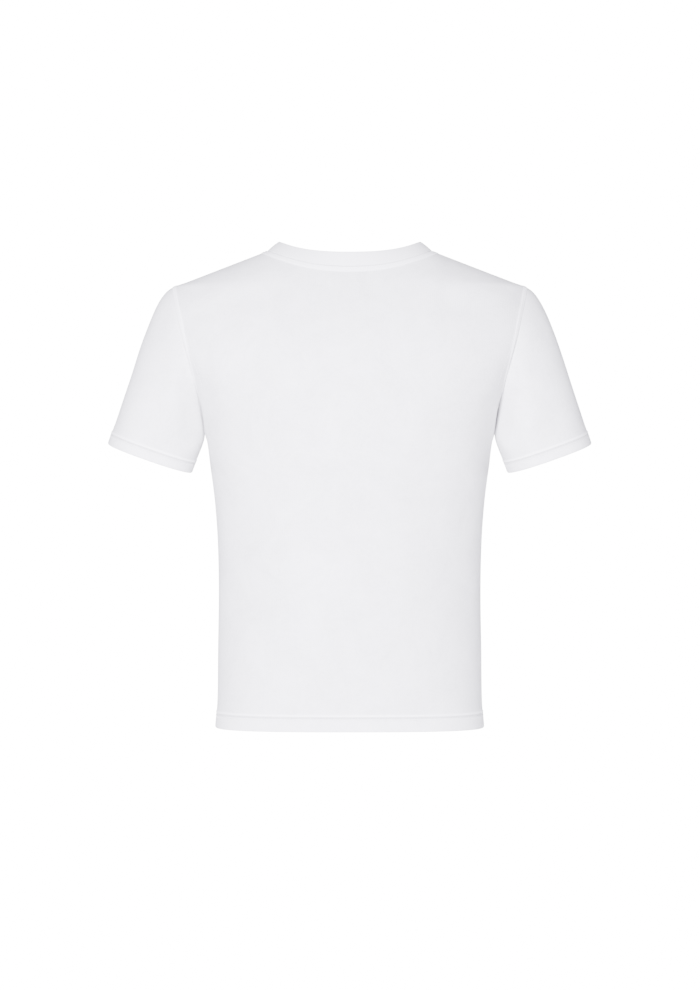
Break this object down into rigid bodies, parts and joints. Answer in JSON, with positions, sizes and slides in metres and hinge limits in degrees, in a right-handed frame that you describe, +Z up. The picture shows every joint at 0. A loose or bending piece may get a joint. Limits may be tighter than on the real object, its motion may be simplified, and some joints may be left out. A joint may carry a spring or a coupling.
{
  "type": "women's crew-neck t-shirt",
  "caption": "Short-sleeved crew-neck jersey T-shirt in its hollow worn form, open at neck, hem and cuffs.",
  "frame": {"origin": "midway between the two neck points of the shoulder seams, where the shirt rests on the wearer's shoulders", "axes": "+Z up, +X towards the wearer's left, -Y the way the chest faces"},
  "size_m": [0.5312, 0.221, 0.5328],
  "materials": {
    "jersey": "matt white single jersey of cotton, a fine smooth knit",
    "rib": "matt white fine rib of cotton, folded double"
  },
  "bodies": {
    "root": {"front_panel": "jersey", "back_panel": "jersey", "sleeve_left": "jersey", "sleeve_right": "jersey", "neckband": "rib"}
  },
  "joints": []
}
